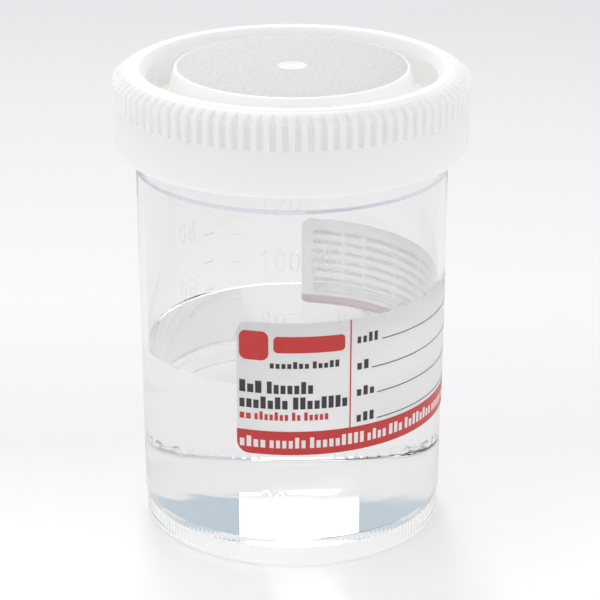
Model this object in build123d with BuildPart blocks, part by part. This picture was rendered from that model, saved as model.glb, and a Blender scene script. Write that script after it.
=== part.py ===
"""A 120 mL specimen container: clear moulded jar, white screw cap, wrap-around label, clear liquid.

Millimetres, +Z up. The origin is on the axis, on the surface that the jar stands on.
The front of the jar, where the scale and the label's left block are, faces -Y.
"""
import os
from math import cos, pi, radians, sin

from build123d import *

# ---------------------------------------------------------------- driving dimensions
# Jar
base_radius = 25.46          # outside of the wall where it starts, just above the foot
wall_spread = 0.4            # how much wider the wall is at the neck
wall_thickness = 1.15        # of the tapered wall
foot_height = 5.0            # height of the ring that the jar stands on
foot_step = 0.26             # how far that ring lies inside the wall above it
foot_wall = 1.3              # thickness of that ring
foot_edge_radius = 0.4
floor_underside = 3.1        # height of the hollow under the floor
floor_thickness = 1.2
floor_corner_radius = 0.6
neck_start = 61.5            # where the bore widens for the cap's plug
bore_step_height = 2.0       # length of the flared step below the bore
neck_wall = 0.86             # at the mouth, which is bored out for the plug
rim_height = 77.2            # top of the jar
rim_round = 0.25

# Serrations round the foot
serration_count = 180
serration_depth = 0.14
serration_start = 0.9
serration_end = 4.5

# Neck thread
thread_pitch = 4.2
thread_turns = 1.5
thread_height = 1.15         # how far its crest stands out from the neck
thread_root_width = 2.0
thread_crest_width = 0.9
thread_top_margin = 2.6      # from the rim down to the middle of the last turn

# Graduations, raised on the outside of the wall
mark_height = 0.08           # how far they stand out
mark_stroke = 0.42
digit_height = 3.6
digit_width = 1.8
digit_pitch = 2.4
scale_levels = {"20": 13.7, "40": 24.3, "60": 34.9, "80": 45.55, "100": 55.7, "120": 65.4}    # tops of the figures
front_figures = ("20", "40", "60", "80", "100", "120")
front_ticked_figures = ("20", "40", "60", "80")
unit_figure = "100"          # the figure that has its unit beside it
unit_offset = 8.6            # from the figure's left end to its unit's
front_scale_left = -5.2      # left end of the front figures, from the middle of the front
back_figures = ("40", "60", "80")
back_scale_angle = -131.0    # degrees round from the front, the middle of the second scale's figures
front_tick_start = -0.6      # left end of the tick beside a front figure of two digits
tick_drop = 0.4              # from the figure's top down to its tick
tick_length = 2.1
tick_step = 5.2              # height between the second scale's ticks
tick_columns = ((-143.5, 26.8, 4), (-156.5, 25.7, 4))    # angle, lowest tick and number of ticks

# Cap
cap_thread_clearance = 0.75  # between the neck's thread and the skirt
cap_skirt_wall = 1.3
cap_rib_stand = 0.24         # how far the ribbed upper skirt stands out from the smooth lower one
cap_bottom = 65.1            # height of the skirt's lower edge above the ground
cap_bottom_round = 1.1
cap_top_thickness = 1.55
cap_ring_flare = 1.05        # the inside of the ring on the top leans out by this, from the plug's inside
cap_shoulder_width = 2.6     # of the rounded shoulder between that ring and the ribs
cap_shoulder_drop = 1.75     # its height
cap_shoulder_bulge = 0.35    # how far the shoulder stands out from a straight slope
cap_ring_round = 0.3
cap_rib_zone = 5.75          # height of the ribbed zone, with the shoulder
rib_count = 92
flute_depth = 0.38
flute_width = 1.5            # at the ribs' outside
flute_floor_width = 0.5
plug_clearance = 0.15        # between the plug and the bore
plug_wall = 1.0
plug_depth = 6.0             # below the jar's rim
groove_floor_thickness = 1.3
groove_width = 2.95          # at its floor, between the plug and the raised centre
plateau_slant = 1.5          # how much the raised centre narrows towards its top
plateau_wall = 1.3
plateau_drop = 0.12          # below the ring's top
plateau_edge_chamfer = 0.25
gate_dimple_radius = 2.3
gate_dimple_depth = 0.25
gate_dimple_taper = 45
gate_nub_radius = 0.7
gate_nub_height = 0.15

# Label
label_bottom = 20.5
label_height = 23.0
label_thickness = 0.12
label_start = -20.3          # degrees round from the front, its left end
label_end = 176.0
label_corner_radius = 2.0
ink_thickness = 0.05
band_height = 4.15           # red band along the label's lower edge
band_words_bottom = 1.15     # white words in the band, from the label's lower edge
band_words_height = 2.0
band_word_lengths = (9.5, 13.0, 20.5, 8.0, 6.5, 17.5, 10.0, 14.5, 12.0, 9.5, 16.0, 11.5, 7.5, 15.0)    # degrees
band_word_gap = 1.6
print_start = -19.2          # left end of the print, degrees round from the front
divider_angle = 21.4
divider_width = 0.5          # degrees
badge_bottom = 37.1          # red badge at the upper left
badge_height = 4.9
badge_end = -8.6
badge_bar_start = -6.6       # red bar beside the badge
badge_bar_end = 19.2
badge_bar_bottom = 38.2
badge_bar_height = 3.2
note_bottom = 26.5           # red words over the band
note_height = 1.4
note_words = ((-19.2, -15.0), (-13.6, -1.4), (0.0, 3.0), (4.4, 13.1))
# Dark words: height of the line, height of the words, and the angles where each starts and ends
dark_lines = (
    (35.6, 1.2, ((-7.9, 6.0), (7.4, 17.0))),
    (31.3, 2.1, ((-19.2, -11.0), (-9.0, 7.5))),
    (28.6, 2.1, ((-19.2, -1.6), (0.4, 20.2))),
    (39.1, 1.9, ((24.0, 32.2),)),
    (34.5, 1.9, ((24.0, 28.5),)),
    (29.9, 1.9, ((24.0, 31.0),)),
    (25.3, 1.9, ((24.0, 31.0),)),
)
rule_starts = ((39.1, 34.3), (34.5, 30.0), (29.9, 32.5), (25.3, 32.5))    # height and start of a writing line
rule_width = 0.2
rule_end = 97.0
small_print_start = 103.0    # degrees; lines of small print at the label's far end
small_print_end = 171.0
small_print_bottom = 26.6
small_print_pitch = 1.75
small_print_height = 0.8
small_print_words = ((0.0, 0.16), (0.19, 0.42), (0.45, 0.66), (0.69, 0.8), (0.83, 1.0))    # shares of the line
small_print_lines = 9

# Liquid
liquid_level = 31.6
liquid_gap = 0.02            # between liquid and plastic

# ---------------------------------------------------------------- worked-out sizes
foot_radius = base_radius - foot_step
shoulder_radius = base_radius + wall_spread
floor_top = floor_underside + floor_thickness
wall_slope = wall_spread / (neck_start - foot_height)
bore_radius = shoulder_radius - neck_wall
cap_top = rim_height + cap_top_thickness
groove_floor_underside = rim_height - plug_depth
groove_floor = groove_floor_underside + groove_floor_thickness
cap_skirt_radius = shoulder_radius + thread_height + cap_thread_clearance + cap_skirt_wall
cap_rib_radius = cap_skirt_radius + cap_rib_stand
cap_ring_radius = cap_rib_radius - cap_shoulder_width
plug_radius = bore_radius - plug_clearance
cap_ring_inner_radius = plug_radius - plug_wall + cap_ring_flare
plateau_foot_radius = plug_radius - plug_wall - groove_width
plateau_top_radius = plateau_foot_radius - plateau_slant
plateau_top = cap_top - plateau_drop
rib_zone_bottom = cap_top - cap_rib_zone
flute_mouth = flute_width - flute_floor_width / 2    # half width of a flute, its depth outside the ribs
label_top = label_bottom + label_height


def wall_radius(z):
    """Outside radius of the tapered wall at height z."""
    return base_radius + wall_slope * (z - foot_height)


def bore_of_wall(z):
    """Inside radius of the tapered wall at height z."""
    return wall_radius(z) - wall_thickness


def band_section(bottom, top, start, depth):
    """Corners of the section of a thin layer that follows the wall, from start outward by depth."""
    return (
        (wall_radius(bottom) + start, bottom),
        (wall_radius(bottom) + start + depth, bottom),
        (wall_radius(top) + start + depth, top),
        (wall_radius(top) + start, top),
    )


def front_plane(angle):
    """Vertical plane through the axis, its x outward at the angle round from the front."""
    turn = radians(angle)
    outward = Vector(sin(turn), -cos(turn), 0)
    return Plane(origin=(0, 0, 0), x_dir=outward, z_dir=outward.cross(Vector(0, 0, 1)))


# ---------------------------------------------------------------- container
thread_bottom = rim_height - thread_top_margin - thread_pitch * thread_turns
thread_root_sink = 0.3       # how far the thread's root runs into the neck
tooth_tip_margin = 0.02      # keeps a plain strip out of the cut between two teeth
cutter_margin = 1.0          # how far the serrations' cutter reaches past the foot
tooth_tip_radius = foot_radius + tooth_tip_margin
tooth_root_radius = foot_radius - serration_depth


def ring_point(radius, step, steps):
    """Point on a circle about the axis, the given step of so many round it."""
    turn = 2 * pi * step / steps
    return (radius * cos(turn), radius * sin(turn))


def serration_outline():
    """Closed zigzag round the foot."""
    steps = 2 * serration_count
    radii = (tooth_tip_radius, tooth_root_radius)
    return [ring_point(radii[step % 2], step, steps) for step in range(steps)]


# One polyline for each figure's open stroke, in widths and heights of the figure's box
figure_strokes = {
    "1": ((0.25, 0.78), (0.55, 1.0), (0.55, 0.0)),
    "2": ((0.05, 0.75), (0.25, 0.96), (0.6, 1.0), (0.9, 0.85), (0.88, 0.6), (0.0, 0.0), (1.0, 0.0)),
    "4": ((0.75, 0.0), (0.75, 1.0), (0.0, 0.3), (1.0, 0.3)),
    "6": ((0.0, 0.3), (0.1, 0.65), (0.35, 0.93), (0.7, 1.0), (0.95, 0.88)),
    "L": ((0.1, 1.0), (0.1, 0.0), (0.9, 0.0)),
    "M": ((0.0, 0.0), (0.0, 1.0), (0.5, 0.35), (1.0, 1.0), (1.0, 0.0)),
}
# Loops of a figure: middle and half sizes of an ellipse, in the same measures
figure_loops = {
    "0": ((0.5, 0.5, 0.5, 0.5),),
    "6": ((0.5, 0.3, 0.5, 0.3),),
    "8": ((0.5, 0.76, 0.42, 0.24), (0.5, 0.27, 0.5, 0.27)),
}


def draw_figures(text, left, top):
    """Draw each figure of the text as strokes, in the sketch that is open."""
    for place, figure in enumerate(text):
        corner = (left + place * digit_pitch, top - digit_height)
        for middle_x, middle_y, half_x, half_y in figure_loops.get(figure, ()):
            middle = (corner[0] + middle_x * digit_width, corner[1] + middle_y * digit_height)
            with Locations(middle):
                Ellipse(half_x * digit_width, half_y * digit_height)
                Ellipse(half_x * digit_width - mark_stroke, half_y * digit_height - mark_stroke, mode=Mode.SUBTRACT)
        if figure in figure_strokes:
            points = [(corner[0] + x * digit_width, corner[1] + y * digit_height) for x, y in figure_strokes[figure]]
            with BuildLine() as stroke:
                Polyline(*points)
            trace(stroke.line, line_width=mark_stroke)


def mark_plane(angle):
    """Upright plane inside the jar, facing out at the angle round from the front."""
    turn = radians(angle)
    outward = Vector(sin(turn), -cos(turn), 0)
    return Plane(origin=outward * mark_plane_radius, x_dir=(cos(turn), sin(turn), 0), z_dir=outward)


mark_plane_depth = 5.0       # from the wall's outside in to the planes that the marks are drawn on
mark_plane_radius = base_radius - mark_plane_depth
mark_reach = 8.0             # how far they are extruded from there, before they are cut to the wall
mark_root_sink = 0.1         # how far the marks run into the wall
marks_margin = 1.0           # from the foot up to the lowest mark, and past the cap's lower edge
marks_bottom = foot_height + marks_margin
marks_top = cap_bottom + marks_margin

with BuildPart() as marks:
    with BuildSketch(mark_plane(0)):
        for figures in front_figures:
            draw_figures(figures, front_scale_left, scale_levels[figures])
        for figures in front_ticked_figures:
            with Locations((front_tick_start + tick_length / 2, scale_levels[figures] - tick_drop)):
                Rectangle(tick_length, mark_stroke)
        draw_figures("ML", front_scale_left + unit_offset, scale_levels[unit_figure])
    extrude(amount=mark_reach)
    with BuildSketch(mark_plane(back_scale_angle)):
        for figures in back_figures:
            draw_figures(figures, -digit_pitch, scale_levels[figures])
    extrude(amount=mark_reach)
    for tick_angle, lowest, count in tick_columns:
        with BuildSketch(mark_plane(tick_angle)):
            with Locations([(0, lowest + tick * tick_step) for tick in range(count)]):
                Rectangle(tick_length, mark_stroke)
        extrude(amount=mark_reach)
    with BuildSketch(Plane.XZ):
        with BuildLine():
            Polyline(*band_section(marks_bottom, marks_top, -mark_root_sink, mark_root_sink + mark_height), close=True)
        make_face()
    revolve(axis=Axis.Z, mode=Mode.INTERSECT)


with BuildPart() as container:
    with BuildSketch(Plane.XZ):
        with BuildLine():
            Polyline(
                (0, floor_underside),
                (foot_radius - foot_wall, floor_underside),
                (foot_radius - foot_wall, 0),
                (foot_radius, 0),
                (foot_radius, foot_height),
                (base_radius, foot_height),
                (shoulder_radius, neck_start),
                (shoulder_radius, rim_height),
                (bore_radius, rim_height),
                (bore_radius, neck_start + bore_step_height),
                (bore_of_wall(neck_start), neck_start),
                (bore_of_wall(floor_top), floor_top),
                (0, floor_top),
                close=True,
            )
        make_face()
    revolve(axis=Axis.Z)
    circles = container.edges().filter_by(GeomType.CIRCLE)
    fillet(circles.group_by(Axis.Z)[-1], rim_round)
    floor_corner = container.edges().filter_by(GeomType.CIRCLE).filter_by_position(
        Axis.Z, floor_top - 0.01, floor_top + 0.01
    )
    fillet(floor_corner, floor_corner_radius)
    foot_edge = container.edges().filter_by(GeomType.CIRCLE).group_by(Axis.Z)[0].sort_by(SortBy.RADIUS)[-1]
    fillet(foot_edge, foot_edge_radius)
    with BuildSketch(Plane.XY.offset(serration_start)):
        Circle(foot_radius + cutter_margin)
        with BuildLine():
            Polyline(*serration_outline(), close=True)
        make_face(mode=Mode.SUBTRACT)
    extrude(amount=serration_end - serration_start, mode=Mode.SUBTRACT)
    with BuildLine():
        thread_path = Helix(
            pitch=thread_pitch,
            height=thread_pitch * thread_turns,
            radius=shoulder_radius,
            center=(0, 0, thread_bottom),
        )
    with BuildSketch(Plane(origin=thread_path @ 0, x_dir=(1, 0, 0), z_dir=thread_path % 0)):
        with BuildLine():
            Polyline(
                (-thread_root_sink, -thread_root_width / 2),
                (thread_height, -thread_crest_width / 2),
                (thread_height, thread_crest_width / 2),
                (-thread_root_sink, thread_root_width / 2),
                close=True,
            )
        make_face()
    sweep(path=thread_path, is_frenet=True)
    add(marks.part)
container.part.label = "container"


# ---------------------------------------------------------------- cap
with BuildPart() as screw_cap:
    with BuildSketch(Plane.XZ):
        with BuildLine():
            shoulder_top = (cap_ring_radius, cap_top)
            shoulder_end = (cap_rib_radius, cap_top - cap_shoulder_drop)
            SagittaArc(shoulder_top, shoulder_end, cap_shoulder_bulge)
            Polyline(
                shoulder_end,
                (cap_rib_radius, rib_zone_bottom),
                (cap_skirt_radius, rib_zone_bottom),
                (cap_skirt_radius, cap_bottom),
                (cap_skirt_radius - cap_skirt_wall, cap_bottom),
                (cap_skirt_radius - cap_skirt_wall, rim_height),
                (plug_radius, rim_height),
                (plug_radius, groove_floor_underside),
                (plateau_foot_radius - plateau_wall, groove_floor_underside),
                (plateau_top_radius - plateau_wall, plateau_top - plateau_wall),
                (0, plateau_top - plateau_wall),
                (0, plateau_top),
                (plateau_top_radius, plateau_top),
                (plateau_foot_radius, groove_floor),
                (plug_radius - plug_wall, groove_floor),
                (plug_radius - plug_wall, rim_height),
                (cap_ring_inner_radius, cap_top),
                shoulder_top,
            )
        make_face()
    revolve(axis=Axis.Z)
    skirt_edge = screw_cap.edges().filter_by(GeomType.CIRCLE).group_by(Axis.Z)[0].sort_by(SortBy.RADIUS)[-1]
    fillet(skirt_edge, cap_bottom_round)
    ring_edges = screw_cap.edges().filter_by(GeomType.CIRCLE).group_by(Axis.Z)[-1]
    fillet(ring_edges, cap_ring_round)
    plateau_edge = screw_cap.edges().filter_by(GeomType.CIRCLE).filter_by_position(
        Axis.Z, plateau_top - 0.01, plateau_top + 0.01
    )
    chamfer(plateau_edge, plateau_edge_chamfer)
    with BuildSketch(Plane.XY.offset(rib_zone_bottom)):
        with PolarLocations(0, rib_count):
            Polygon(
                (cap_rib_radius - flute_depth, -flute_floor_width / 2),
                (cap_rib_radius + flute_depth, -flute_mouth),
                (cap_rib_radius + flute_depth, flute_mouth),
                (cap_rib_radius - flute_depth, flute_floor_width / 2),
                align=None,
            )
    extrude(amount=cap_rib_zone, mode=Mode.SUBTRACT)
    with BuildSketch(Plane.XY.offset(plateau_top)):
        Circle(gate_dimple_radius)
    extrude(amount=-gate_dimple_depth, taper=gate_dimple_taper, mode=Mode.SUBTRACT)
    with BuildSketch(Plane.XY.offset(plateau_top - gate_dimple_depth)):
        Circle(gate_nub_radius)
    extrude(amount=gate_nub_height)
screw_cap.part.label = "screw_cap"

# ---------------------------------------------------------------- label
with BuildPart() as label:
    with BuildSketch(front_plane(label_start)):
        with BuildLine():
            Polyline(*band_section(label_bottom, label_top, 0, label_thickness), close=True)
        make_face()
    revolve(axis=Axis.Z, revolution_arc=label_end - label_start)
    corners = label.edges().filter_by(GeomType.LINE).filter_by(lambda edge: edge.length < 2 * label_thickness)
    fillet(corners, label_corner_radius)
    add(marks.part, mode=Mode.SUBTRACT)
label.part.label = "label"


# ---------------------------------------------------------------- inks on the label
def print_field(bottom, height, start_angle, end_angle):
    """Layer of ink on the label, between two angles round from the front."""
    with BuildPart() as field:
        with BuildSketch(front_plane(start_angle)):
            with BuildLine():
                Polyline(*band_section(bottom, bottom + height, label_thickness, ink_thickness), close=True)
            make_face()
        revolve(axis=Axis.Z, revolution_arc=end_angle - start_angle)
    return field.part


band_words = []
word_angle = print_start
for word_length in band_word_lengths:
    band_words.append(
        print_field(label_bottom + band_words_bottom, band_words_height, word_angle, word_angle + word_length)
    )
    word_angle += word_length + band_word_gap

red_fields = [
    print_field(badge_bottom, badge_height, print_start, badge_end),
    print_field(badge_bar_bottom, badge_bar_height, badge_bar_start, badge_bar_end),
    print_field(
        label_bottom + band_height,
        label_height - band_height,
        divider_angle - divider_width / 2,
        divider_angle + divider_width / 2,
    ),
]
red_fields += [print_field(note_bottom, note_height, start, end) for start, end in note_words]

band_top = label_bottom + band_height
band_blank_thickness = label_thickness + ink_thickness
with BuildPart() as label_red_print:
    with BuildSketch(front_plane(label_start)):
        with BuildLine():
            Polyline(*band_section(label_bottom, band_top, 0, band_blank_thickness), close=True)
        make_face()
    revolve(axis=Axis.Z, revolution_arc=label_end - label_start)
    band_corners = label_red_print.edges().filter_by(GeomType.LINE).filter_by(
        lambda edge: edge.length < 2 * band_blank_thickness
    )
    fillet(band_corners.group_by(Axis.Z)[0], label_corner_radius)
    with BuildSketch(Plane.XZ):
        with BuildLine():
            Polyline(*band_section(label_bottom - ink_thickness, band_top, label_thickness, ink_thickness), close=True)
        make_face()
    revolve(axis=Axis.Z, mode=Mode.INTERSECT)
    add(band_words, mode=Mode.SUBTRACT)
    add(red_fields)
label_red_print.part.label = "label_red_print"

dark_fields = []
for line_bottom, word_height, words in dark_lines:
    dark_fields += [print_field(line_bottom, word_height, start, end) for start, end in words]
dark_fields += [print_field(level, rule_width, start, rule_end) for level, start in rule_starts]
small_print_span = small_print_end - small_print_start
for line in range(small_print_lines):
    line_bottom = small_print_bottom + line * small_print_pitch
    for start, end in small_print_words:
        dark_fields.append(
            print_field(
                line_bottom,
                small_print_height,
                small_print_start + start * small_print_span,
                small_print_start + end * small_print_span,
            )
        )

with BuildPart() as label_dark_print:
    add(dark_fields)
label_dark_print.part.label = "label_dark_print"

# ---------------------------------------------------------------- liquid
liquid_bottom = floor_top + liquid_gap
with BuildPart() as liquid:
    with BuildSketch(Plane.XZ):
        with BuildLine():
            Polyline(
                (0, liquid_bottom),
                (bore_of_wall(liquid_bottom) - liquid_gap, liquid_bottom),
                (bore_of_wall(liquid_level) - liquid_gap, liquid_level),
                (0, liquid_level),
                close=True,
            )
        make_face()
    revolve(axis=Axis.Z)
    fillet(liquid.edges().filter_by(GeomType.CIRCLE).group_by(Axis.Z)[0], floor_corner_radius)
liquid.part.label = "liquid"

# ---------------------------------------------------------------- files
os.makedirs("parts", exist_ok=True)
export_step(container.part, "parts/container.step")
export_step(screw_cap.part, "parts/screw_cap.step")
export_step(label.part, "parts/label.step")
export_step(label_red_print.part, "parts/label_red_print.step")
export_step(label_dark_print.part, "parts/label_dark_print.step")
export_step(liquid.part, "parts/liquid.step")
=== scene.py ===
"""Looks of the specimen container: clear jar, liquid, printed label and white screw cap.

Lengths are written in millimetres and multiplied by MM where meshes are made. Angles go round from the
front of the jar (-Y) towards +X, in degrees.
"""
import math
import random

import bpy
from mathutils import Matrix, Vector


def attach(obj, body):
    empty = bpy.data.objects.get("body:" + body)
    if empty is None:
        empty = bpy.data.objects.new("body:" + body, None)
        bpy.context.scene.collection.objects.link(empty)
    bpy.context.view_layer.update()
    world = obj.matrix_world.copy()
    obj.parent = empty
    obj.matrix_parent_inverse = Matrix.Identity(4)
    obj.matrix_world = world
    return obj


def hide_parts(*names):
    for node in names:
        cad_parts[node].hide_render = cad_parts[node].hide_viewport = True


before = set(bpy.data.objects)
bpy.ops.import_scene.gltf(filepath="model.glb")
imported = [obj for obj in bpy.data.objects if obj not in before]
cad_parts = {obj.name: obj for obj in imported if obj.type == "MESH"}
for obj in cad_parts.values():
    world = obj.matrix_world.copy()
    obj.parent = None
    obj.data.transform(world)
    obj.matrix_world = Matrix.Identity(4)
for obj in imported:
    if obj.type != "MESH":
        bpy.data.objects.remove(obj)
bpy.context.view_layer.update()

MM = 0.001

# ---------------------------------------------------------------- sizes shared with the CAD part
foot_height = 5.0
foot_radius = 25.2
foot_wall = 1.3
foot_edge = 0.4
base_radius = 25.46
shoulder_radius = 25.86
wall_thickness = 1.15
floor_underside = 3.1
floor_top = 4.3
floor_corner = 0.6
neck_start = 61.5
bore_step = 2.0
step_rise = 0.8              # the bore's step itself, low and rounded
bore_radius = 25.0
rim_height = 77.2
rim_round = 0.25
serration_count = 180
serration_depth = 0.07
serration_start = 0.9
serration_end = 4.5
thread_pitch = 4.2
thread_turns = 1.5
thread_height = 1.15
thread_root_width = 2.0
thread_crest_width = 0.9
thread_top_margin = 2.6
label_start = -20.3
label_end = 176.0
label_bottom = 20.5
label_top = 43.5
label_corner = 2.0
label_thickness = 0.12
scale_levels = {"20": 13.7, "40": 24.3, "60": 34.9, "80": 45.55, "100": 55.7, "120": 65.4}
wall_slope = (shoulder_radius - base_radius) / (neck_start - foot_height)


def wall_radius(z):
    """Outside radius of the tapered wall."""
    return base_radius + wall_slope * (z - foot_height)


def bore_of_wall(z):
    """Inside radius of the tapered wall."""
    return wall_radius(z) - wall_thickness


# ---------------------------------------------------------------- mesh helpers
def make_object(name, verts, faces, materials, face_slots=None, smooth_angle=30):
    """Mesh object from points in millimetres, smooth but for its sharp edges."""
    mesh = bpy.data.meshes.new(name)
    mesh.from_pydata([(x * MM, y * MM, z * MM) for x, y, z in verts], [], faces)
    for material in materials:
        mesh.materials.append(material)
    if face_slots:
        mesh.polygons.foreach_set("material_index", face_slots)
    mesh.shade_smooth()
    mesh.set_sharp_from_angle(angle=math.radians(smooth_angle))
    mesh.update()
    piece = bpy.data.objects.new(name, mesh)
    bpy.context.collection.objects.link(piece)
    return piece


def arc(middle_r, middle_z, radius, start, end, steps):
    """Points of an arc in a section, angles in degrees from the outward direction."""
    turns = [math.radians(start + (end - start) * step / steps) for step in range(steps + 1)]
    return [(middle_r + radius * math.cos(t), middle_z + radius * math.sin(t)) for t in turns]


def around(radius, angle, z):
    """Point at a radius and an angle round from the front."""
    turn = math.radians(angle)
    return (radius * math.sin(turn), -radius * math.cos(turn), z)


def lathe(name, section, steps, materials, radius_of=None, slot_of=None, smooth_angle=30):
    """Turned closed body. The section runs from axis to axis.

    radius_of may change a radius by height and angle, and slot_of gives a band's material.
    """
    rows = section[1:-1]
    verts = [(0, 0, section[0][1])]
    for radius, z in rows:
        for step in range(steps):
            angle = 360 * step / steps
            moved = radius_of(radius, z, angle) if radius_of else radius
            verts.append(around(moved, angle, z))
    verts.append((0, 0, section[-1][1]))
    faces = []
    slots = []
    last = len(verts) - 1
    for step in range(steps):
        beside = (step + 1) % steps
        faces.append((0, 1 + beside, 1 + step))
        slots.append(slot_of(0) if slot_of else 0)
        for row in range(len(rows) - 1):
            low = 1 + row * steps
            faces.append((low + step, low + beside, low + steps + beside, low + steps + step))
            slots.append(slot_of(row + 1) if slot_of else 0)
        low = 1 + (len(rows) - 1) * steps
        faces.append((last, low + step, low + beside))
        slots.append(slot_of(len(rows)) if slot_of else 0)
    return make_object(name, verts, faces, materials, slots, smooth_angle)


# ---------------------------------------------------------------- material helpers
def principled(name, base, roughness, **sockets):
    """Material with one Principled shader, its even values set on its own sockets."""
    material = bpy.data.materials.new(name)
    material.use_nodes = True
    shader = material.node_tree.nodes["Principled BSDF"]
    shader.inputs["Base Color"].default_value = (*base, 1)
    shader.inputs["Roughness"].default_value = roughness
    for socket, value in sockets.items():
        shader.inputs[socket.replace("_", " ")].default_value = value
    return material


def noise(material, scale, detail=4.0):
    """Noise over the piece's own coordinates, in metres."""
    nodes, links = material.node_tree.nodes, material.node_tree.links
    place = nodes.new("ShaderNodeTexCoord")
    texture = nodes.new("ShaderNodeTexNoise")
    texture.inputs["Scale"].default_value = scale
    texture.inputs["Detail"].default_value = detail
    links.new(place.outputs["Object"], texture.inputs["Vector"])
    return texture.outputs["Fac"]


def spread(material, source, low, high):
    """Noise spread between two values."""
    node = material.node_tree.nodes.new("ShaderNodeMapRange")
    node.inputs["From Min"].default_value = 0.3
    node.inputs["From Max"].default_value = 0.7
    node.inputs["To Min"].default_value = low
    node.inputs["To Max"].default_value = high
    material.node_tree.links.new(source, node.inputs["Value"])
    return node.outputs["Result"]


def vary_roughness(material, scale, low, high):
    """Roughness that drifts between two values."""
    nodes, links = material.node_tree.nodes, material.node_tree.links
    drift = spread(material, noise(material, scale), low, high)
    links.new(drift, nodes["Principled BSDF"].inputs["Roughness"])


def vary_colour(material, scale, one, other):
    """Base colour that drifts between two near ones."""
    nodes, links = material.node_tree.nodes, material.node_tree.links
    blend = nodes.new("ShaderNodeMix")
    blend.data_type = "RGBA"
    blend.inputs["A"].default_value = (*one, 1)
    blend.inputs["B"].default_value = (*other, 1)
    links.new(spread(material, noise(material, scale), 0, 1), blend.inputs["Factor"])
    links.new(blend.outputs["Result"], nodes["Principled BSDF"].inputs["Base Color"])


def add_bump(material, scale, strength, distance, detail=4.0):
    """Bump from noise, its distance in millimetres, over any bump the material has."""
    nodes, links = material.node_tree.nodes, material.node_tree.links
    bump = nodes.new("ShaderNodeBump")
    bump.inputs["Strength"].default_value = strength
    bump.inputs["Distance"].default_value = distance * MM
    links.new(noise(material, scale, detail), bump.inputs["Height"])
    normal = nodes["Principled BSDF"].inputs["Normal"]
    if normal.is_linked:
        links.new(normal.links[0].from_socket, bump.inputs["Normal"])
    links.new(bump.outputs["Normal"], normal)


def let_light_seep(material, tint, share):
    """Let part of the light through a thin white sheet, scattered."""
    nodes, links = material.node_tree.nodes, material.node_tree.links
    seep = nodes.new("ShaderNodeBsdfTranslucent")
    seep.inputs["Color"].default_value = (*tint, 1)
    blend = nodes.new("ShaderNodeMixShader")
    blend.inputs["Fac"].default_value = share
    links.new(nodes["Principled BSDF"].outputs["BSDF"], blend.inputs[1])
    links.new(seep.outputs["BSDF"], blend.inputs[2])
    links.new(blend.outputs["Shader"], nodes["Material Output"].inputs["Surface"])


# ---------------------------------------------------------------- materials
plastic_ior = 1.49
liquid_ior = 1.34
clear_plastic = principled(
    "clear_plastic", (0.975, 0.975, 0.972), 0.02, Transmission_Weight=1.0, IOR=plastic_ior
)
vary_roughness(clear_plastic, 90, 0.0, 0.022)
add_bump(clear_plastic, 60, 0.05, 0.2, 2.0)

# Where the liquid wets the wall, light crosses between the two straight away
wet_plastic = principled(
    "wet_plastic", (0.955, 0.955, 0.955), 0.0, Transmission_Weight=1.0, IOR=plastic_ior / liquid_ior
)
vary_roughness(wet_plastic, 90, 0.0, 0.012)

# The rounded step of the bore shows a thin line of the blue room as a painted reflection: its blue is
# painted into the clear plastic's colour
step_painted_reflection = principled("step_painted_reflection", (0.66, 0.75, 0.84), 0.03, Transmission_Weight=1.0, IOR=1.2)
vary_roughness(step_painted_reflection, 90, 0.0, 0.08)

# Ridges laid over the wall bend light only by their own low height
raised_clear = principled("raised_clear", (0.97, 0.97, 0.97), 0.08, Transmission_Weight=1.0, IOR=1.16)
vary_roughness(raised_clear, 90, 0.04, 0.12)

# The liquid's own sides are passed straight through, as the wall's wetted finish bends the light there
wetted_side = bpy.data.materials.new("wetted_side")
wetted_side.use_nodes = True
nodes, links = wetted_side.node_tree.nodes, wetted_side.node_tree.links
nodes.remove(nodes["Principled BSDF"])
passing = nodes.new("ShaderNodeBsdfTransparent")
links.new(passing.outputs["BSDF"], nodes["Material Output"].inputs["Surface"])

clear_liquid = principled(
    "clear_liquid", (0.995, 0.995, 0.995), 0.0, Transmission_Weight=1.0, IOR=liquid_ior
)
add_bump(clear_liquid, 25, 0.02, 0.2, 1.0)

white_plastic = principled(
    "white_plastic", (0.915, 0.913, 0.9), 0.35, Subsurface_Weight=1.0, Subsurface_Scale=0.002
)
white_plastic.node_tree.nodes["Principled BSDF"].inputs["Subsurface Radius"].default_value = (1.0, 1.0, 1.0)
vary_roughness(white_plastic, 120, 0.28, 0.42)
add_bump(white_plastic, 700, 0.06, 0.05)

# The dull top of the cap's raised centre: its frosted grain is its own, its grey is painted shade on the
# cap's white plastic
frosted_plastic_painted_shade = principled("frosted_plastic_painted_shade", (0.615, 0.615, 0.615), 0.6, Specular_IOR_Level=0.12)
vary_roughness(frosted_plastic_painted_shade, 1500, 0.45, 0.75)
vary_colour(frosted_plastic_painted_shade, 1400, (0.575, 0.575, 0.57), (0.655, 0.655, 0.65))
add_bump(frosted_plastic_painted_shade, 2600, 0.5, 0.05, 6.0)

label_film = principled("label_film", (0.96, 0.96, 0.96), 0.4)
vary_colour(label_film, 60, (0.95, 0.95, 0.95), (0.97, 0.97, 0.97))
add_bump(label_film, 1800, 0.1, 0.02)
let_light_seep(label_film, (0.99, 0.99, 0.99), 0.7)

red_ink = principled("red_ink", (0.55, 0.028, 0.026), 0.35)
vary_colour(red_ink, 800, (0.53, 0.025, 0.023), (0.57, 0.032, 0.03))
add_bump(red_ink, 1800, 0.1, 0.02)

dark_ink = principled("dark_ink", (0.03, 0.025, 0.025), 0.35)
vary_colour(dark_ink, 800, (0.025, 0.02, 0.02), (0.04, 0.034, 0.034))
add_bump(dark_ink, 1800, 0.1, 0.02)

white_ink = principled("white_ink", (0.82, 0.8, 0.8), 0.4)
vary_colour(white_ink, 800, (0.8, 0.77, 0.77), (0.84, 0.82, 0.82))
add_bump(white_ink, 1800, 0.1, 0.02)

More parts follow.
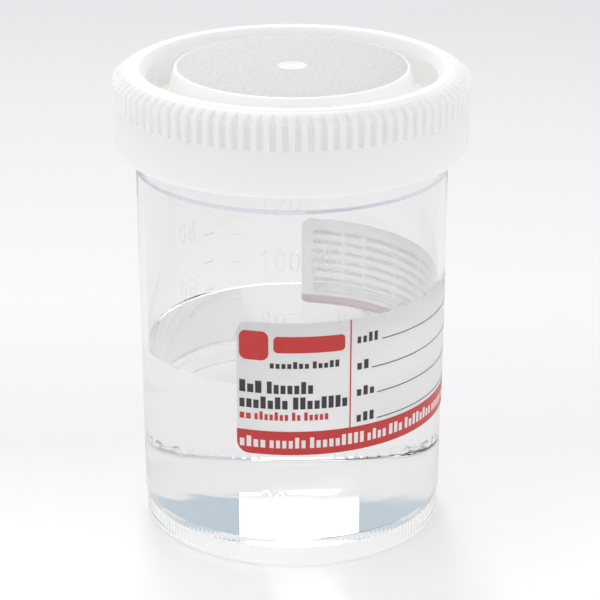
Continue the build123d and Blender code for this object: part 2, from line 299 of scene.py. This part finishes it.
fine_ink = principled("fine_ink", (0.1, 0.1, 0.1), 0.4)
vary_colour(fine_ink, 800, (0.08, 0.08, 0.08), (0.13, 0.13, 0.13))
add_bump(fine_ink, 1800, 0.1, 0.02)
let_light_seep(fine_ink, (0.85, 0.85, 0.85), 0.5)

# ---------------------------------------------------------------- jar
steps_per_serration = 4
thread_bottom = rim_height - thread_top_margin - thread_pitch * thread_turns
thread_row_step = 0.3
thread_seam = 90             # degrees round from the front, where the thread starts
wall_row_count = 8
bore_step_rows = 8
support = 0.12               # rows this close to a rounding keep the long faces beside it flat to light
sharp_edge = 0.01            # between two rows that draw a sharp edge in a section
near = 0.001                 # a radius or height this close counts as the same
liquid_level = 31.6
meniscus_rise = 0.18
meniscus_width = 1.2
meniscus_reach = 0.45        # inward distance over which the liquid's edge falls to about a third
waterline = liquid_level + meniscus_rise


def jar_section():
    """Section of the jar from the underside's middle, round the outside and back to the floor's middle."""
    ring_inside = foot_radius - foot_wall
    points = [(0, floor_underside), (ring_inside, floor_underside), (ring_inside, 0)]
    points += arc(foot_radius - foot_edge, foot_edge, foot_edge, -90, 0, 5)
    points += [(foot_radius, serration_start), (foot_radius, serration_start + sharp_edge)]
    points += [(foot_radius, serration_end - sharp_edge), (foot_radius, serration_end)]
    points += [(foot_radius, foot_height), (base_radius, foot_height)]
    for row in range(1, wall_row_count + 1):
        z = foot_height + (neck_start - foot_height) * row / wall_row_count
        points.append((wall_radius(z), z))
    neck_height = rim_height - rim_round - neck_start
    thread_rows = int(neck_height / thread_row_step)
    for row in range(1, thread_rows + 1):
        points.append((shoulder_radius, neck_start + neck_height * row / thread_rows))
    points += arc(shoulder_radius - rim_round, rim_height - rim_round, rim_round, 0, 90, 4)[1:]
    points += arc(bore_radius + rim_round, rim_height - rim_round, rim_round, 90, 180, 4)
    points.append((bore_radius, rim_height - rim_round - support))
    points += [(bore_radius, neck_start + bore_step), (bore_radius, neck_start + step_rise)]
    drop = bore_radius - bore_of_wall(neck_start)
    for row in range(1, bore_step_rows + 1):
        share = row / bore_step_rows
        inward = drop * (1 - math.cos(math.pi * share)) / 2
        points.append((bore_radius - inward, neck_start + step_rise * (1 - share)))
    points.append((bore_of_wall(neck_start - support), neck_start - support))
    points.append((bore_of_wall(waterline), waterline))
    corner_top = floor_top + floor_corner
    corner_r = bore_of_wall(corner_top)
    points.append((bore_of_wall(corner_top + support), corner_top + support))
    points += arc(corner_r - floor_corner, corner_top, floor_corner, 0, -90, 8)
    points += [(corner_r - floor_corner - support, floor_top), (0, floor_top)]
    return points


def thread_rise(angle, z):
    """How far the screw thread stands out from the neck."""
    turn = (angle - thread_seam) % 360 / 360
    best = 0
    for lap in range(int(thread_turns) + 1):
        along = turn + lap
        if along > thread_turns:
            continue
        off = abs(z - thread_bottom - along * thread_pitch)
        half_crest, half_root = thread_crest_width / 2, thread_root_width / 2
        rise = thread_height * min(1, max(0, (half_root - off) / (half_root - half_crest)))
        run_in = min(along, thread_turns - along) * 2 * math.pi * shoulder_radius
        best = max(best, rise * min(1, run_in / thread_root_width))
    return best


section = jar_section()


def jar_radius(radius, z, angle):
    """Foot serrations and neck thread on the turned jar."""
    outside = radius > foot_radius - near
    if outside and serration_start < z < serration_end:
        phase = angle * serration_count / 360 % 1
        return radius - serration_depth * (1 - abs(2 * phase - 1))
    if neck_start < z < rim_height - 2 * rim_round and radius > shoulder_radius - near:
        return radius + thread_rise(angle, z)
    return radius


def jar_slot(band):
    """The wetted finish on the inside below the waterline, and the bore step's painted blue reflection."""
    (r1, z1), (r2, z2) = section[band], section[band + 1]
    low, high = min(z1, z2), max(z1, z2)
    inside = max(r1, r2) < base_radius - wall_thickness / 4 and low > floor_top - sharp_edge
    if inside and neck_start - sharp_edge < low and high < neck_start + step_rise + sharp_edge:
        return 2
    return 1 if inside and high < waterline + sharp_edge else 0


jar_finishes = [clear_plastic, wet_plastic, step_painted_reflection]
jar = lathe("jar_body", section, steps_per_serration * serration_count, jar_finishes, jar_radius, jar_slot)
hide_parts("container")
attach(jar, "jar")

# ---------------------------------------------------------------- liquid
liquid_gap = 0.02            # between liquid and plastic
liquid_steps = 256
corner_rows = 6
meniscus_rows = 8
flat_radius = 12             # inside this the surface is one flat disc


def liquid_section():
    """Section of the liquid from the bottom's middle, up the wall and back over the curved-up edge."""
    corner_r = bore_of_wall(floor_top + floor_corner) - liquid_gap
    bottom = floor_top + liquid_gap
    points = [(0, bottom)]
    points += arc(corner_r - floor_corner, bottom + floor_corner, floor_corner, -90, 0, corner_rows)
    edge = bore_of_wall(waterline) - liquid_gap
    points.append((edge, waterline))
    for row in range(1, meniscus_rows + 1):
        inward = meniscus_width * row / meniscus_rows
        points.append((edge - inward, liquid_level + meniscus_rise * math.exp(-inward / meniscus_reach)))
    points += [(flat_radius, liquid_level), (0, liquid_level)]
    return points


wetted_bands = corner_rows + 2    # of the section, from the bottom's middle to the waterline


def liquid_slot(band):
    """The sides that wet the wall, and the surface."""
    return 1 if band < wetted_bands else 0


liquid_finishes = [clear_liquid, wetted_side]
liquid = lathe("liquid_body", liquid_section(), liquid_steps, liquid_finishes, None, liquid_slot, 50)
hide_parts("liquid")
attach(liquid, "jar")

# ---------------------------------------------------------------- cap
cap_skirt_radius = 29.06
cap_rib_radius = 29.29
cap_skirt_wall = 1.3
cap_bottom = 65.1
cap_bottom_round = 1.1
cap_top = 78.75
cap_ring_radius = 26.7
cap_ring_inner_radius = 24.9
cap_shoulder_drop = 1.75
cap_shoulder_bulge = 0.22
cap_ring_round = 0.3
ring_lip = 0.18
rib_zone_bottom = 73.0
rib_count = 92
flute_depth = 0.5
flute_width = 1.42
flute_side = 0.3
plug_radius = 24.85
plug_wall = 1.0
plug_bottom = 71.2
groove_floor = 72.5
plateau_top = 78.63
plateau_top_radius = 19.4
plateau_foot_radius = 20.9
plateau_wall = 1.3
plateau_edge = 0.5
gate_radius = 2.0
gate_depth = 0.35
gate_nub_radius = 0.7
gate_nub_height = 0.3
steps_per_rib = 14
shoulder_rows = 28
flute_top_share = 0.8        # how far the flutes run up the shoulder, where they end in points
flute_fade = 0.3             # power by which their depth falls on the way
plateau_rings = (6, 10, 14)  # radii of extra rows across the plateau
gate_bands = 4               # of the section, from the nub's middle to the plateau


def shoulder_point(share):
    """Point of the rounded shoulder, from the ring down to the ribs."""
    bulge = cap_shoulder_bulge * 4 * share * (1 - share)
    run = cap_rib_radius - cap_ring_radius
    across = math.hypot(run, cap_shoulder_drop)
    radius = cap_ring_radius + run * share + bulge * cap_shoulder_drop / across
    return (radius, cap_top - ring_lip - (cap_shoulder_drop - ring_lip) * share + bulge * run / across)


def cap_section():
    """Section of the cap from the top's middle, down the outside and up inside."""
    nub_top = plateau_top - gate_depth + gate_nub_height
    points = [(0, nub_top), (gate_nub_radius * 0.7, nub_top), (gate_nub_radius, nub_top - gate_nub_height)]
    points += [(gate_radius, plateau_top - gate_depth), (gate_radius + gate_depth, plateau_top)]
    points += [(r, plateau_top) for r in plateau_rings]
    points += [(plateau_top_radius - plateau_edge, plateau_top)]
    points += arc(plateau_top_radius - plateau_edge, plateau_top - plateau_edge, plateau_edge, 90, 0, 4)[1:]
    points += [(plateau_foot_radius, groove_floor), (plug_radius - plug_wall, groove_floor)]
    points += [(plug_radius - plug_wall, rim_height)]
    slope = math.degrees(math.atan2(cap_top - rim_height, cap_ring_inner_radius - plug_radius + plug_wall))
    ring_round_r = cap_ring_inner_radius + cap_ring_round
    points += arc(ring_round_r, cap_top - cap_ring_round, cap_ring_round, 90 + slope, 90, 4)
    points += [(cap_ring_radius - cap_ring_round, cap_top)]
    points += arc(cap_ring_radius - cap_ring_round, cap_top - ring_lip, ring_lip, 90, 0, 3)[1:]
    points += [shoulder_point(row / shoulder_rows) for row in range(1, shoulder_rows + 1)]
    points += [(cap_rib_radius, rib_zone_bottom + sharp_edge), (cap_skirt_radius, rib_zone_bottom)]
    bottom_round_r = cap_skirt_radius - cap_bottom_round
    points += arc(bottom_round_r, cap_bottom + cap_bottom_round, cap_bottom_round, 0, -90, 6)
    inside = cap_skirt_radius - cap_skirt_wall
    points += [(inside, cap_bottom), (inside, rim_height)]
    points += [(plug_radius, rim_height), (plug_radius, plug_bottom)]
    points += [(plateau_foot_radius - plateau_wall, plug_bottom)]
    ceiling = plateau_top - plateau_wall
    points += [(plateau_top_radius - plateau_wall, ceiling), (0, ceiling)]
    return points


def flute_cut(angle, up_shoulder):
    """Depth of the flutes between the ribs. They narrow to a point as they run up the shoulder."""
    off = abs(angle * rib_count / 360 % 1 - 0.5) * 2 * math.pi * cap_rib_radius / rib_count
    left = max(0, 1 - up_shoulder / flute_top_share)
    half_width = flute_width / 2 * math.sqrt(left)
    if off >= half_width:
        return 0
    return flute_depth * min(1, (half_width - off) / flute_side) * left ** flute_fade


def cap_radius(radius, z, angle):
    """Flutes cut into the ribbed zone of the turned cap."""
    if radius > cap_ring_radius and z > rib_zone_bottom + sharp_edge / 2:
        up = (z - (cap_top - cap_shoulder_drop)) / cap_shoulder_drop
        return radius - flute_cut(angle, max(0, up))
    return radius


def cap_slot(band):
    """The frosted plateau top with its painted grey shade, the plain finish elsewhere."""
    return 1 if gate_bands <= band <= gate_bands + len(plateau_rings) else 0


cap_finishes = [white_plastic, frosted_plastic_painted_shade]
cap = lathe("cap_body", cap_section(), steps_per_rib * rib_count, cap_finishes, cap_radius, cap_slot)
cap.data.flip_normals()
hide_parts("screw_cap")
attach(cap, "cap")


# ---------------------------------------------------------------- label
layer_sink = 0.02            # each layer starts this far inside the one below
ink_in = label_thickness - layer_sink
ink_out = label_thickness + 0.02
white_out = label_thickness + 0.035    # the band's white words lie over its red
corner_steps = 8             # of a rounded corner
column_step = 1.5            # degrees between the columns of a rounded field
field_step = 2.0             # and of a square-ended one
all_corners = ("lb", "lt", "rb", "rt")


def shell(columns, inner, outer):
    """Points and faces of a thin layer on the wall, from inner to outer millimetres off the bare wall.

    Each column is an angle with the heights of its ends.
    """
    verts = []
    for angle, bottom, top in columns:
        for radius_from_wall, z in ((inner, bottom), (outer, bottom), (outer, top), (inner, top)):
            verts.append(around(wall_radius(z) + radius_from_wall, angle, z))
    faces = [(0, 1, 2, 3)]
    for column in range(len(columns) - 1):
        a, b = 4 * column, 4 * (column + 1)
        for side in range(4):
            beside = (side + 1) % 4
            faces.append((a + side, b + side, b + beside, a + beside))
    end = 4 * (len(columns) - 1)
    faces.append((end + 3, end + 2, end + 1, end))
    return verts, faces


def rounded_columns(start, end, bottom, top, corners, radius=label_corner):
    """Columns of a field with rounded ends. corners names the rounded ones: lb, lt, rb, rt."""
    reach = math.degrees(radius / shoulder_radius)
    columns = []
    offsets = [reach * (1 - math.cos(math.pi / 2 * n / corner_steps)) for n in range(corner_steps + 1)]
    left = [start + offset for offset in offsets]
    right = [end - offset for offset in reversed(offsets)]
    middle_count = max(1, int((right[0] - left[-1]) / column_step))
    middle = [left[-1] + (right[0] - left[-1]) * n / middle_count for n in range(1, middle_count)]
    for angle in left + middle + right:
        near_left, near_right = (angle - start) / reach, (end - angle) / reach
        low, high = bottom, top
        for share, low_name, high_name in ((near_left, "lb", "lt"), (near_right, "rb", "rt")):
            if share < 1:
                drop = radius * (1 - math.sqrt(max(0, 1 - (1 - share) ** 2)))
                low = low + drop if low_name in corners else low
                high = high - drop if high_name in corners else high
        columns.append((angle, low, max(high, low + near)))
    return columns


def join_shells(name, parts, material):
    """One piece from several layers' points and faces."""
    verts, faces = [], []
    for part_verts, part_faces in parts:
        offset = len(verts)
        verts += part_verts
        faces += [tuple(index + offset for index in face) for face in part_faces]
    return make_object(name, verts, faces, [material], smooth_angle=40)


def field(start, end, bottom, height, outer):
    """Square-ended field of ink between two angles."""
    count = max(1, int((end - start) / field_step))
    columns = [(start + (end - start) * n / count, bottom, bottom + height) for n in range(count + 1)]
    return shell(columns, ink_in, outer)


def dress(piece, node):
    """Put a piece of the label on the jar, in the node's place where it has one."""
    if node:
        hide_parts(node)
    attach(piece, "jar")


label_columns = rounded_columns(label_start, label_end, label_bottom, label_top, all_corners)
label = join_shells("label_sheet", [shell(label_columns, -layer_sink, label_thickness)], label_film)
dress(label, "label")

# ---------------------------------------------------------------- print on the label
letters = random.Random(7)
letter_rises = (0.7, 0.7, 0.72, 0.74, 1.0, 1.0)    # heights of the blocks, as shares of the word's


def word(start, end, bottom, height, letter_width, gap):
    """A word as a row of plain blocks of uneven height, between two angles."""
    blocks = []
    degree = math.degrees(1 / shoulder_radius)
    pitch = (letter_width + gap) * degree
    count = max(1, round((end - start) / pitch))
    pitch = (end - start + gap * degree) / count
    for place in range(count):
        low = start + place * pitch
        rise = letters.choice(letter_rises)
        blocks.append((low, low + pitch - gap * degree, bottom, height * rise))
    return blocks


def print_blocks(name, blocks, outer, material, node, parts=()):
    """A piece of print from square blocks, and other parts with them."""
    shells = [*parts, *(field(start, end, bottom, height, outer) for start, end, bottom, height in blocks)]
    dress(join_shells(name, shells, material), node)


print_start = -19.2          # left end of the print, degrees round from the front
band_height = 4.15
divider_angle = 21.4
divider_half_width = 0.25    # degrees
rule_end = 97.0
rule_width = 0.16
# Rounded red fields: start, end, bottom, top, rounded corners, their radius
red_fields = (
    (label_start, label_end, label_bottom, label_bottom + band_height, ("lb", "rb"), label_corner),
    (print_start, -8.4, 37.0, 42.0, all_corners, 1.2),
    (-6.6, 19.2, 38.4, 41.2, all_corners, 0.7),
)
note_bottom, note_height, note_letter, note_gap = 26.6, 1.45, 0.5, 0.3
note_words = ((-19.2, -15.0), (-13.6, -1.4), (0.0, 3.0), (4.4, 13.1))

red_parts = [shell(rounded_columns(*red_field), ink_in, ink_out) for red_field in red_fields]
divider_bottom = label_bottom + band_height
divider_ends = divider_angle - divider_half_width, divider_angle + divider_half_width
red_blocks = [(*divider_ends, divider_bottom, label_top - divider_bottom)]
for low, high in note_words:
    red_blocks += word(low, high, note_bottom, note_height, note_letter, note_gap)
print_blocks("red_print", red_blocks, ink_out, red_ink, "label_red_print", red_parts)

# Dark words: bottom, height, width of a letter, gap, and the angles where each starts and ends
dark_lines = (
    (35.7, 1.2, 0.62, 0.3, ((-7.9, 6.0), (7.4, 17.0))),
    (31.3, 2.1, 0.75, 0.32, ((-19.2, -11.0), (-9.0, 7.5))),
    (28.6, 2.1, 0.75, 0.32, ((-19.2, -1.6), (0.4, 20.2))),
    (39.2, 1.6, 0.55, 0.42, ((24.0, 32.2),)),
    (34.6, 1.6, 0.55, 0.42, ((24.0, 28.5),)),
    (30.0, 1.6, 0.55, 0.42, ((24.0, 31.0),)),
    (25.4, 1.6, 0.55, 0.42, ((24.0, 31.0),)),
)
# Height and start of each writing line
rule_starts = ((39.1, 34.3), (34.5, 30.0), (29.9, 32.5), (25.3, 32.5))
dark_blocks = []
for bottom, height, letter_width, gap, words in dark_lines:
    for low, high in words:
        dark_blocks += word(low, high, bottom, height, letter_width, gap)
for level, start in rule_starts:
    dark_blocks.append((start, rule_end, level, rule_width))
print_blocks("dark_print", dark_blocks, ink_out, dark_ink, "label_dark_print")

fine_start, fine_length = 103.0, 68    # degrees
fine_bottom, fine_pitch, fine_lines = 26.6, 1.75, 9
fine_height, fine_letter, fine_gap = 0.85, 0.42, 0.3
fine_words = ((0.0, 0.16), (0.19, 0.42), (0.45, 0.66), (0.69, 0.8), (0.83, 1.0))    # shares of the line
fine_blocks = []
for line in range(fine_lines):
    for low, high in fine_words:
        start, end = fine_start + fine_length * low, fine_start + fine_length * high
        fine_blocks += word(start, end, fine_bottom + fine_pitch * line, fine_height, fine_letter, fine_gap)
print_blocks("fine_print", fine_blocks, ink_out, fine_ink, None)

band_words_bottom, band_words_height, band_letter, band_gap = label_bottom + 1.2, 1.9, 0.6, 0.38
# Lengths of the band's words and the gap between them, in degrees
band_word_lengths = (9.5, 13.0, 20.5, 8.0, 6.5, 17.5, 10.0, 14.5, 12.0, 9.5, 16.0, 11.5, 7.5, 15.0)
band_word_gap = 1.6
band_blocks = []
angle = print_start
for length in band_word_lengths:
    band_blocks += word(angle, angle + length, band_words_bottom, band_words_height, band_letter, band_gap)
    angle += length + band_word_gap
print_blocks("white_print", band_blocks, white_out, white_ink, None)

# ---------------------------------------------------------------- raised figures on the wall
stroke_width = 0.42
mark_height = 0.09
mark_sink = 0.06             # how far a ridge's edges run into the wall
ridge_steps = 6              # across a ridge
ridge_flatness = 0.7         # power that squares its rounded section a little
loop_steps = 20
digit_height, digit_width, digit_pitch = 3.6, 1.8, 2.4
# Strokes of each figure, as shares of its width and height, apart at sharp corners
figure_strokes = {
    "1": (((0.25, 0.78), (0.53, 0.97)), ((0.55, 1.0), (0.55, 0.0))),
    "2": (
        (
            (0.05, 0.72), (0.12, 0.88), (0.3, 0.98), (0.6, 0.99),
            (0.85, 0.88), (0.9, 0.68), (0.75, 0.5), (0.0, 0.04),
        ),
        ((0.0, 0.0), (1.0, 0.0)),
    ),
    "4": (((0.75, 0.0), (0.75, 1.0)), ((0.7, 0.96), (0.02, 0.34)), ((0.0, 0.3), (1.0, 0.3))),
    "6": (((0.0, 0.3), (0.06, 0.55), (0.2, 0.8), (0.4, 0.94), (0.65, 1.0), (0.92, 0.94)),),
    "L": (((0.1, 1.0), (0.1, 0.05)), ((0.1, 0.0), (0.9, 0.0))),
    "M": (
        ((0.0, 0.0), (0.0, 1.0)),
        ((0.04, 0.95), (0.48, 0.36)),
        ((0.52, 0.36), (0.96, 0.95)),
        ((1.0, 1.0), (1.0, 0.0)),
    ),
}
# Closed loops of each figure: middle across and up, half width, half height
figure_loops = {
    "0": ((0.5, 0.5, 0.5, 0.5),),
    "6": ((0.5, 0.3, 0.5, 0.3),),
    "8": ((0.5, 0.76, 0.42, 0.24), (0.5, 0.27, 0.5, 0.27)),
}


def stroke_mesh(points, angle, closed=False):
    """A low rounded ridge along points given in millimetres across and up, from the middle angle."""
    verts, faces = [], []
    count = len(points)
    for place, (x, z) in enumerate(points):
        before = points[place - 1] if closed or place else points[place]
        after = points[(place + 1) % count] if closed or place < count - 1 else points[place]
        dx, dz = after[0] - before[0], after[1] - before[1]
        length = math.hypot(dx, dz) or 1
        side_x, side_z = dz / length, -dx / length
        for step in range(ridge_steps + 1):
            turn = math.pi * step / ridge_steps
            off = stroke_width / 2 * math.cos(turn)
            px, pz = x + side_x * off, z + side_z * off
            out = mark_height * math.sin(turn) ** ridge_flatness if 0 < step < ridge_steps else -mark_sink
            radius = wall_radius(min(pz, neck_start)) + out
            verts.append(around(radius, angle + math.degrees(px / wall_radius(pz)), pz))
    ring = ridge_steps + 1
    spans = count if closed else count - 1
    for place in range(spans):
        a, b = place * ring, (place + 1) % count * ring
        for step in range(ring):
            beside = (step + 1) % ring
            faces.append((a + step, b + step, b + beside, a + beside))
    if not closed:
        faces.append(tuple(range(ring)))
        faces.append(tuple(range((count - 1) * ring, count * ring))[::-1])
    return verts, faces


def figure_meshes(text, left, top, angle):
    """Ridges of a row of figures, from its left end and top, about the middle angle."""
    meshes = []
    for place, figure in enumerate(text):
        x0, z0 = left + place * digit_pitch, top - digit_height
        for mid_x, mid_z, half_x, half_z in figure_loops.get(figure, ()):
            turns = [2 * math.pi * n / loop_steps for n in range(loop_steps)]
            rx, rz = half_x * digit_width - stroke_width / 2, half_z * digit_height - stroke_width / 2
            mx, mz = x0 + mid_x * digit_width, z0 + mid_z * digit_height
            loop = [(mx + rx * math.cos(turn), mz + rz * math.sin(turn)) for turn in turns]
            meshes.append(stroke_mesh(loop, angle, closed=True))
        for stroke in figure_strokes.get(figure, ()):
            points = [(x0 + x * digit_width, z0 + z * digit_height) for x, z in stroke]
            meshes.append(stroke_mesh(points, angle))
    return meshes


front_scale_left, unit_left = -5.2, 3.4
tick_start, tick_length, tick_drop, tick_step = -0.6, 2.1, 0.4, 5.2
back_scale_angle = -131.0
tick_columns = ((-143.5, 26.8, 4), (-156.5, 25.7, 4))    # angle, lowest tick and number of ticks
mark_meshes = []
for text, top in scale_levels.items():
    mark_meshes += figure_meshes(text, front_scale_left, top, 0)
mark_meshes += figure_meshes("ML", unit_left, scale_levels["100"], 0)
for text in ("20", "40", "60", "80"):
    z = scale_levels[text] - tick_drop
    mark_meshes.append(stroke_mesh([(tick_start, z), (tick_start + tick_length, z)], 0))
for text in ("40", "60", "80"):
    mark_meshes += figure_meshes(text, -digit_pitch, scale_levels[text], back_scale_angle)
for tick_angle, lowest, count in tick_columns:
    for tick in range(count):
        z = lowest + tick_step * tick
        mark_meshes.append(stroke_mesh([(-tick_length / 2, z), (tick_length / 2, z)], tick_angle))
marks = join_shells("raised_figures", mark_meshes, raised_clear)
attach(marks, "jar")

# ---------------------------------------------------------------- stage
floor_half_size = 3.0        # metres
floor_glow_seen = 0.3        # share of the floor that glows where the camera sees it
floor_glow_through = 0.75    # and where it is seen through clear plastic
floor_front, floor_back = -0.1, 0.35    # metres, between which the sweep's shade changes
floor_white = (1.0, 1.0, 1.0, 1)
# The grey far behind is painted shade of the sweep
floor_far_painted_shade = (0.665, 0.655, 0.68, 1)
# Painted shade on the way, as a share of the way from front to back and a colour; the dip at 0.278 is a
# painted soft shadow beside the jar
floor_painted_shades = (
    (0.156, (1.0, 1.0, 1.0, 1)),
    (0.278, (0.85, 0.839, 0.85, 1)),
    (0.437, (0.873, 0.861, 0.873, 1)),
)
floor_mesh = bpy.data.meshes.new("studio_floor")
floor_signs = ((-1, -1), (1, -1), (1, 1), (-1, 1))
floor_corners = [(x * floor_half_size, y * floor_half_size, 0) for x, y in floor_signs]
floor_mesh.from_pydata(floor_corners, [], [(0, 1, 2, 3)])
floor = bpy.data.objects.new("studio_floor", floor_mesh)
bpy.context.collection.objects.link(floor)


def floor_look():
    """Pale sweep, white in front and painted shade to grey far behind, with a painted soft shadow band
    beside the jar. Part glows, more of it seen through clear plastic.
    """
    material = bpy.data.materials.new("studio_floor")
    material.use_nodes = True
    nodes, links = material.node_tree.nodes, material.node_tree.links
    place = nodes.new("ShaderNodeTexCoord")
    split = nodes.new("ShaderNodeSeparateXYZ")
    links.new(place.outputs["Object"], split.inputs["Vector"])
    reach = nodes.new("ShaderNodeMapRange")
    reach.inputs["From Min"].default_value = floor_front
    reach.inputs["From Max"].default_value = floor_back
    links.new(split.outputs["Y"], reach.inputs["Value"])
    ramp = nodes.new("ShaderNodeValToRGB")
    ramp.color_ramp.elements[0].color = floor_white
    ramp.color_ramp.elements[1].color = floor_far_painted_shade
    for position, colour in floor_painted_shades:
        ramp.color_ramp.elements.new(position).color = colour
    links.new(reach.outputs["Result"], ramp.inputs["Fac"])
    shader = nodes["Principled BSDF"]
    shader.inputs["Roughness"].default_value = 0.8
    shader.inputs["Specular IOR Level"].default_value = 0.0
    links.new(ramp.outputs["Color"], shader.inputs["Base Color"])
    glow = nodes.new("ShaderNodeEmission")
    links.new(ramp.outputs["Color"], glow.inputs["Color"])
    path = nodes.new("ShaderNodeLightPath")
    share = nodes.new("ShaderNodeMath")
    share.operation = "MULTIPLY"
    share.inputs[1].default_value = floor_glow_seen
    links.new(path.outputs["Is Camera Ray"], share.inputs[0])
    through = nodes.new("ShaderNodeMath")
    through.operation = "MAXIMUM"
    links.new(path.outputs["Is Transmission Ray"], through.inputs[0])
    links.new(path.outputs["Is Glossy Ray"], through.inputs[1])
    share_through = nodes.new("ShaderNodeMath")
    share_through.operation = "MULTIPLY_ADD"
    share_through.inputs[1].default_value = floor_glow_through
    links.new(through.outputs["Value"], share_through.inputs[0])
    links.new(share.outputs["Value"], share_through.inputs[2])
    blend = nodes.new("ShaderNodeMixShader")
    links.new(share_through.outputs["Value"], blend.inputs["Fac"])
    links.new(shader.outputs["BSDF"], blend.inputs[1])
    links.new(glow.outputs["Emission"], blend.inputs[2])
    links.new(blend.outputs["Shader"], nodes["Material Output"].inputs["Surface"])
    return material


floor_mesh.materials.append(floor_look())

# ---------------------------------------------------------------- light
world = bpy.data.worlds.new("studio")
bpy.context.scene.world = world
world.use_nodes = True
nodes, links = world.node_tree.nodes, world.node_tree.links
nodes.clear()
output = nodes.new("ShaderNodeOutputWorld")
room_light = (0.74, 1.0)     # strength from the front and from behind
even = nodes.new("ShaderNodeBackground")
studio = nodes.new("ShaderNodeBackground")
path = nodes.new("ShaderNodeLightPath")
either = nodes.new("ShaderNodeMath")
either.operation = "MAXIMUM"
links.new(path.outputs["Is Glossy Ray"], either.inputs[0])
links.new(path.outputs["Is Transmission Ray"], either.inputs[1])
blend = nodes.new("ShaderNodeMixShader")
links.new(either.outputs["Value"], blend.inputs["Fac"])
links.new(even.outputs["Background"], blend.inputs[1])
links.new(studio.outputs["Background"], blend.inputs[2])
links.new(blend.outputs["Shader"], output.inputs["Surface"])

# Clear and glossy surfaces see a pale sweep up to the edge, then a dim blue room with a softbox behind
edge_elevation = 26.1        # degrees
softbox_left, softbox_right = -0.228, 0.173
sweep_shade = (0.93, 0.925, 0.93, 1)
room_shade = (0.55, 0.65, 0.73, 1)
softbox_shade = (2.0, 2.0, 2.0, 1)
direction = nodes.new("ShaderNodeTexCoord")
split = nodes.new("ShaderNodeSeparateXYZ")
links.new(direction.outputs["Generated"], split.inputs["Vector"])


def world_math(operation, first, second):
    """Output of a maths node on two numbers or sockets."""
    node = nodes.new("ShaderNodeMath")
    node.operation = operation
    for index, value in enumerate((first, second)):
        if isinstance(value, (int, float)):
            node.inputs[index].default_value = value
        else:
            links.new(value, node.inputs[index])
    return node.outputs["Value"]


def world_mix(factor, first, second):
    """Output of a mix between two colours or sockets."""
    node = nodes.new("ShaderNodeMix")
    node.data_type = "RGBA"
    links.new(factor, node.inputs["Factor"])
    for name, value in (("A", first), ("B", second)):
        if isinstance(value, tuple):
            node.inputs[name].default_value = value
        else:
            links.new(value, node.inputs[name])
    return node.outputs["Result"]


above = world_math("GREATER_THAN", split.outputs["Z"], math.sin(math.radians(edge_elevation)))
right_of = world_math("GREATER_THAN", split.outputs["X"], softbox_left)
left_of = world_math("LESS_THAN", split.outputs["X"], softbox_right)
within = world_math("MULTIPLY", right_of, left_of)
behind = world_math("GREATER_THAN", split.outputs["Y"], 0.1)
on_softbox = world_math("MULTIPLY", within, behind)
room = world_mix(on_softbox, room_shade, softbox_shade)
links.new(world_mix(above, sweep_shade, room), studio.inputs["Color"])
rearward = world_math("MULTIPLY_ADD", split.outputs["Y"], 0.5)
rearward.node.inputs[2].default_value = 0.5
from_front, from_behind = ((strength, strength, strength, 1) for strength in room_light)
links.new(world_mix(rearward, from_front, from_behind), even.inputs["Color"])


def area_lamp(name, place, target, size, power):
    """Soft lamp turned towards a target, in metres and watts. The camera doesn't see it."""
    lamp = bpy.data.lights.new(name, "AREA")
    lamp.shape = "RECTANGLE"
    lamp.size, lamp.size_y = size
    lamp.energy = power
    lamp_object = bpy.data.objects.new(name, lamp)
    bpy.context.collection.objects.link(lamp_object)
    lamp_object.location = place
    away = Vector(place) - Vector(target)
    lamp_object.rotation_euler = away.to_track_quat("Z", "Y").to_euler()
    lamp_object.visible_camera = False


area_lamp("overhead_softbox", (-0.3, 0.25, 0.92), (0, 0, 0.04), (0.5, 0.5), 0.9)
area_lamp("rear_softbox", (-0.09, 0.92, 0.63), (0, 0, 0), (0.28, 0.24), 3.6)

# ---------------------------------------------------------------- camera
camera_distance = 0.364      # from the jar's axis along the floor
camera_height = 0.1789
camera_pitch = 21.23         # degrees down
focal_pixels = 2300
picture_width = 600
sensor_width = 36
axis_offset_pixels = 8       # the jar's axis lies this far left of the picture's middle

camera_data = bpy.data.cameras.new("camera")
camera_data.sensor_width = sensor_width
camera_data.lens = focal_pixels / picture_width * sensor_width
camera_data.shift_x = axis_offset_pixels / picture_width
camera_data.clip_start = 0.01
camera = bpy.data.objects.new("camera", camera_data)
camera.location = (0, -camera_distance, camera_height)
camera.rotation_euler = (math.radians(90 - camera_pitch), 0, 0)
bpy.context.collection.objects.link(camera)
bpy.context.scene.camera = camera
bpy.context.scene.view_settings.view_transform = "Standard"

# Light crosses many clear surfaces before it leaves the jar
bpy.context.scene.cycles.max_bounces = 32
bpy.context.scene.cycles.transmission_bounces = 32
bpy.context.scene.cycles.glossy_bounces = 16
bpy.context.scene.cycles.diffuse_bounces = 8
bpy.context.scene.cycles.blur_glossy = 0
